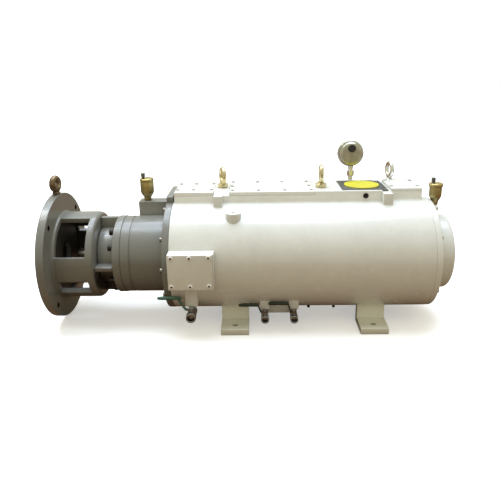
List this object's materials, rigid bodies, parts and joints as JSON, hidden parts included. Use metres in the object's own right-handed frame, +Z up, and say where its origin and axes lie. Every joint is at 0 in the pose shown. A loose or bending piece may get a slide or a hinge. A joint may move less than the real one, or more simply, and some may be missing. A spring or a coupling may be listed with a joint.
{
  "type": "screw vacuum pump",
  "caption": "Horizontal dry screw vacuum pump with a drive flange lantern, gear case, round casing with top deck and capped inlet, end cover, drain valves, gauge and bolted feet.",
  "frame": {"origin": "on the floor, midway along the length from the drive flange's face to the end cover, under the rotor axis", "axes": "+X along the rotor axis from the drive flange to the end cover, +Y to the back, away from the drain valves, +Z up"},
  "size_m": [1.3412, 0.444, 0.5846],
  "materials": {
    "casing_white": "glossy off-white machine enamel",
    "gear_grey": "semi-gloss mid-grey enamel over a casting",
    "machined_steel": "turned",
    "dark_steel": "blackened",
    "brass": "dull olive brass",
    "yellow_zinc": "yellow zinc plated, forged",
    "pale_zinc": "bright zinc plated, forged",
    "nickel": "dull nickel-plated brass",
    "grip_teal": "dark teal dipped vinyl",
    "grip_dark": "very dark green dipped vinyl",
    "cap_yellow": "bright yellow moulded plastic",
    "board_black": "black speckled gasket board",
    "gauge_steel": "dull stainless pressing",
    "gauge_rubber": "black rubber"
  },
  "bodies": {
    "pump": {"drive_lantern": "gear_grey", "bore_cover": "dark_steel", "bearing_housing": "gear_grey", "gear_case": "gear_grey", "gear_case_flange": "gear_grey", "vent_box": "gear_grey", "main_casing": "casing_white", "end_plate": "casing_white", "end_cover": "casing_white", "top_cover_drive_end": "casing_white", "top_cover_middle": "casing_white", "top_cover_far_end": "casing_white", "side_cover_front": "casing_white", "side_cover_rear": "casing_white", "inlet_board": "board_black", "inlet_cap": "cap_yellow", "port_plug": "dark_steel", "eye_drive_flange": "yellow_zinc", "eye_deck_drive_end": "yellow_zinc", "eye_deck_inlet": "yellow_zinc", "eye_deck_far_end": "pale_zinc", "air_vent_drive_end": "brass", "vent_screw_drive_end": "dark_steel", "air_vent_far_end": "brass", "vent_screw_far_end": "dark_steel", "vent_nipple": "machined_steel", "gauge_case": "gauge_steel", "gauge_stem": "machined_steel", "gauge_bracket": "casing_white", "gauge_relief_plug": "gauge_rubber", "valve_body_1": "nickel", "valve_body_2": "nickel", "valve_body_3": "nickel", "drain_plug_1": "dark_steel", "drain_plug_2": "dark_steel", "foot_front_drive_end": "casing_white", "foot_front_far_end": "casing_white", "foot_rear_drive_end": "casing_white", "foot_rear_far_end": "casing_white"},
    "shaft": {"input_shaft": "machined_steel"},
    "lever_1": {"valve_lever_1": "grip_teal"},
    "lever_2": {"valve_lever_2": "grip_dark"},
    "lever_3": {"valve_lever_3": "grip_dark"}
  },
  "joints": [
    {"name": "shaft_turn", "type": "hinge", "parent": "pump", "child": "shaft", "pos_m": [-0.57, 0, 0.225], "axis": [1, 0, 0], "continuous": true},
    {"name": "valve_1_turn", "type": "hinge", "parent": "pump", "child": "lever_1", "pos_m": [-0.193, -0.185, 0.0928], "axis": [0, 0, 1], "range_deg": [0, 90]},
    {"name": "valve_2_turn", "type": "hinge", "parent": "pump", "child": "lever_2", "pos_m": [0.0466, -0.156, 0.0672], "axis": [0, 0, 1], "range_deg": [0, 90]},
    {"name": "valve_3_turn", "type": "hinge", "parent": "pump", "child": "lever_3", "pos_m": [0.1425, -0.156, 0.0672], "axis": [0, 0, 1], "range_deg": [0, 90]}
  ]
}
